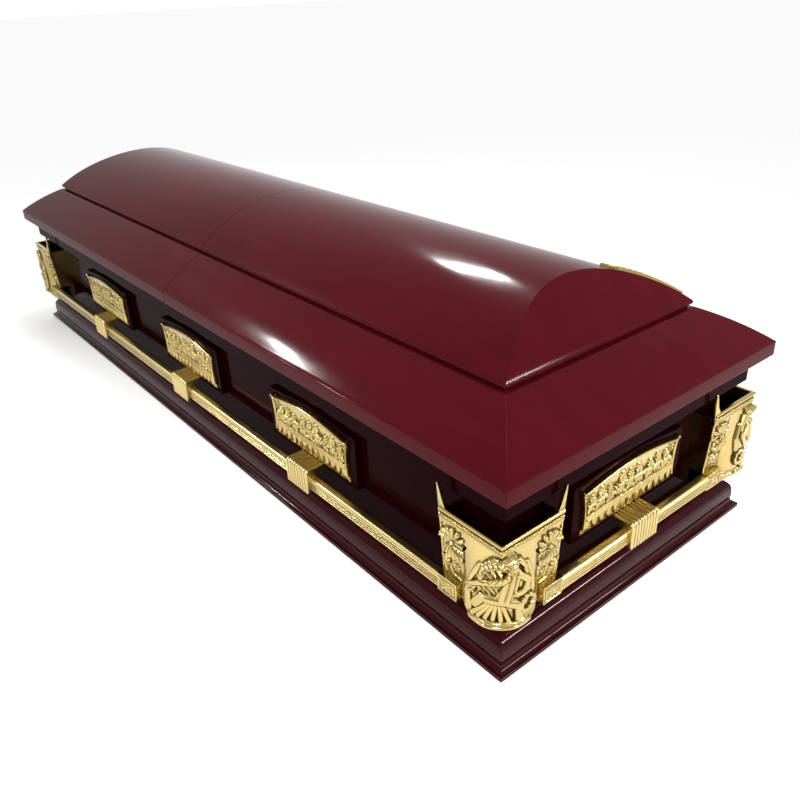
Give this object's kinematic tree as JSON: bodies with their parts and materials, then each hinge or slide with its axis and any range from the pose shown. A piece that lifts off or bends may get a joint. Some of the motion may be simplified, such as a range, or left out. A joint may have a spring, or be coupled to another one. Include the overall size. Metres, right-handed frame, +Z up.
{
  "type": "funeral casket",
  "caption": "Hollow lacquered casket on a moulded base, with a parted barrel lid, gilt corner castings, arched lug plates and reeded carrying bars.",
  "frame": {"origin": "on the floor under the middle of the bounding box", "axes": "+X along the casket towards the head end (the end nearer the viewer in the source view), -Y out of the front long side, +Z up"},
  "size_m": [2.13, 0.7, 0.527],
  "materials": {
    "lacquer": "deep cherry stain under high-gloss lacquer",
    "board": "plain sealed board",
    "gilt": "polished pale gold plating"
  },
  "bodies": {
    "root": {"base_moulding": "lacquer", "bottom_board": "board", "body_walls": "lacquer", "top_rail": "lacquer", "lid_rim_head": "lacquer", "lid_rim_foot": "lacquer", "lid_crown_head": "lacquer", "lid_crown_foot": "lacquer", "crown_trim": "gilt", "corner_head_front": "gilt", "corner_head_back": "gilt", "corner_foot_front": "gilt", "corner_foot_back": "gilt", "bar_front": "gilt", "bar_back": "gilt", "bar_head": "gilt", "bar_foot": "gilt", "block_front_foot": "lacquer", "block_front_mid": "lacquer", "block_front_head": "lacquer", "block_back_foot": "lacquer", "block_back_mid": "lacquer", "block_back_head": "lacquer", "block_head": "lacquer", "block_foot": "lacquer", "plate_front_foot": "gilt", "plate_front_mid": "gilt", "plate_front_head": "gilt", "plate_back_foot": "gilt", "plate_back_mid": "gilt", "plate_back_head": "gilt", "plate_head": "gilt", "plate_foot": "gilt", "arm_front_foot": "gilt", "arm_front_mid": "gilt", "arm_front_head": "gilt", "arm_back_foot": "gilt", "arm_back_mid": "gilt", "arm_back_head": "gilt", "arm_head": "gilt", "arm_foot": "gilt"}
  },
  "joints": []
}
